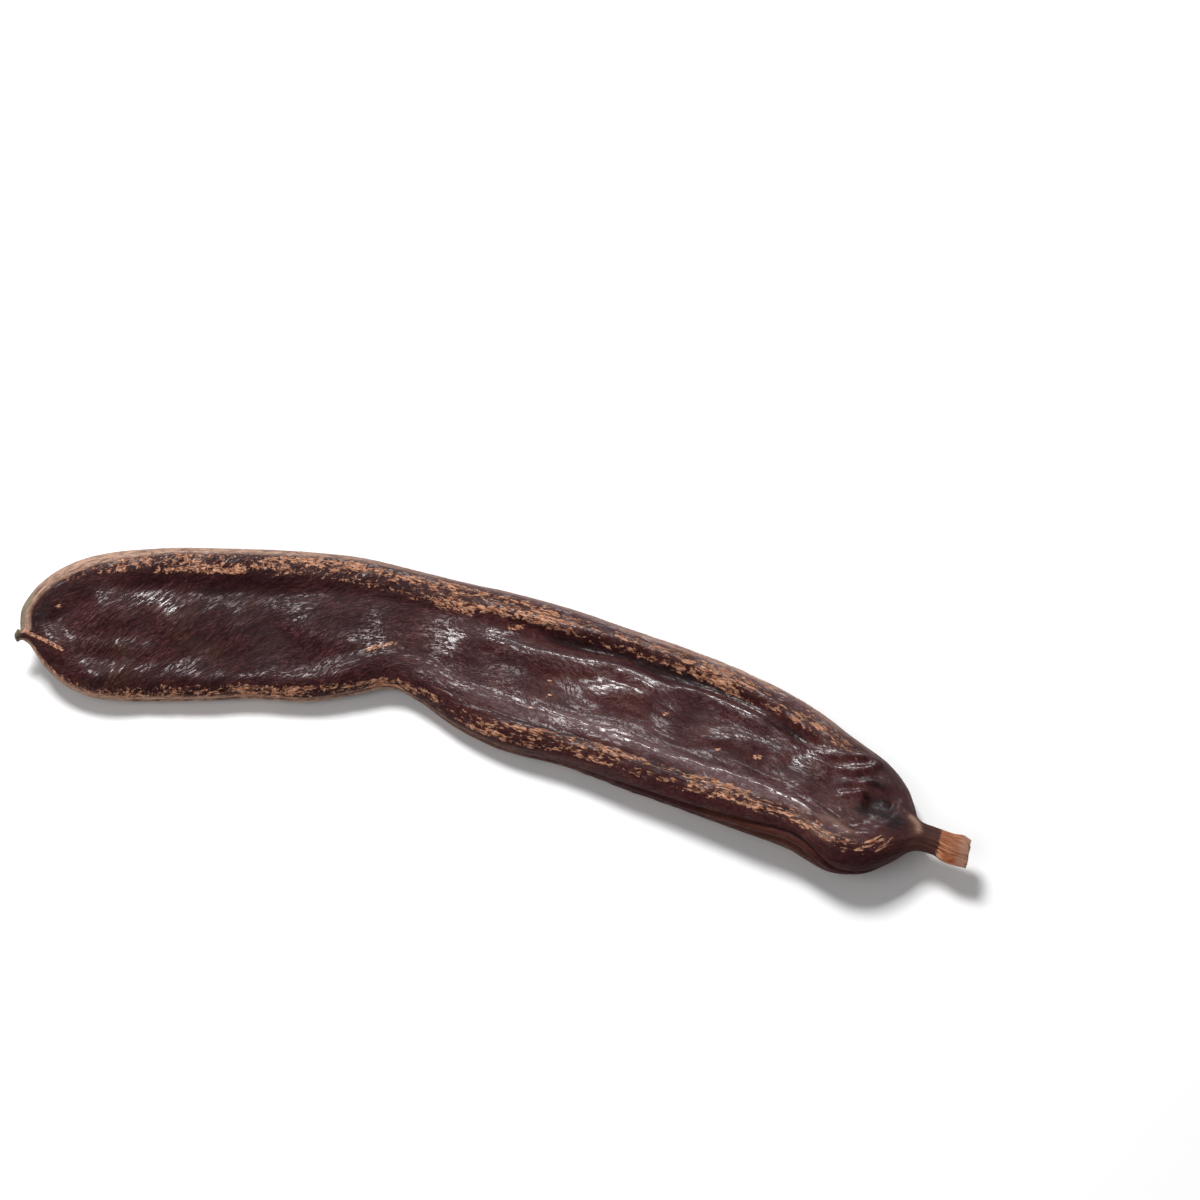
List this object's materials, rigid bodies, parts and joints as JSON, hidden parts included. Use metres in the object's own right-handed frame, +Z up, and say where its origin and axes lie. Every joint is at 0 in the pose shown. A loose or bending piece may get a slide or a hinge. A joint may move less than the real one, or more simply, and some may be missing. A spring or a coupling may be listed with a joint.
{
  "type": "carob pod",
  "caption": "Dry ripe carob pod: a long flat leathery pod with thick rims, sunken folded faces, a torn stalk stub and a dry style tip, lying on one side.",
  "frame": {"origin": "middle of the pod's box in plan, on the surface that it lies on", "axes": "+X from the dry style tip to the stalk, +Y towards the dorsal edge, +Z up through the valves"},
  "size_m": [0.183, 0.0414, 0.0134],
  "materials": {
    "pod_skin": "dark brown dry skin, satin with glossy wrinkled ridges, speckled orange tan along both rims"
  },
  "bodies": {
    "root": {"pod": "pod_skin"}
  },
  "joints": []
}
